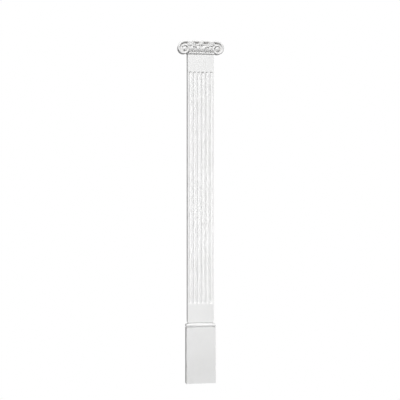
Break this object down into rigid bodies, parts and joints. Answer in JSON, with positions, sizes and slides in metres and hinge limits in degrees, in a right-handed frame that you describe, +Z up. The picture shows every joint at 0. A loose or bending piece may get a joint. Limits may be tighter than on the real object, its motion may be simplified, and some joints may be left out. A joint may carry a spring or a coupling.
{
  "type": "pilaster",
  "caption": "Tall flat fluted pilaster for a door surround, with an Ionic scroll capital and a plain plinth block under a moulded cap.",
  "frame": {"origin": "on the wall plane at floor level, on the vertical centre line of the back", "axes": "+X to the right seen from the front, +Y back into the wall, +Z up along the shaft; the face looks along -Y"},
  "size_m": [0.311, 0.065, 2.286],
  "materials": {
    "smooth_primer": "white primed rigid moulding foam, smooth low sheen",
    "carved_primer": "white primed rigid moulding foam, carved, with primer soft in the hollows"
  },
  "bodies": {
    "root": {"capital": "carved_primer", "shaft": "smooth_primer", "plinth": "smooth_primer"}
  },
  "joints": []
}
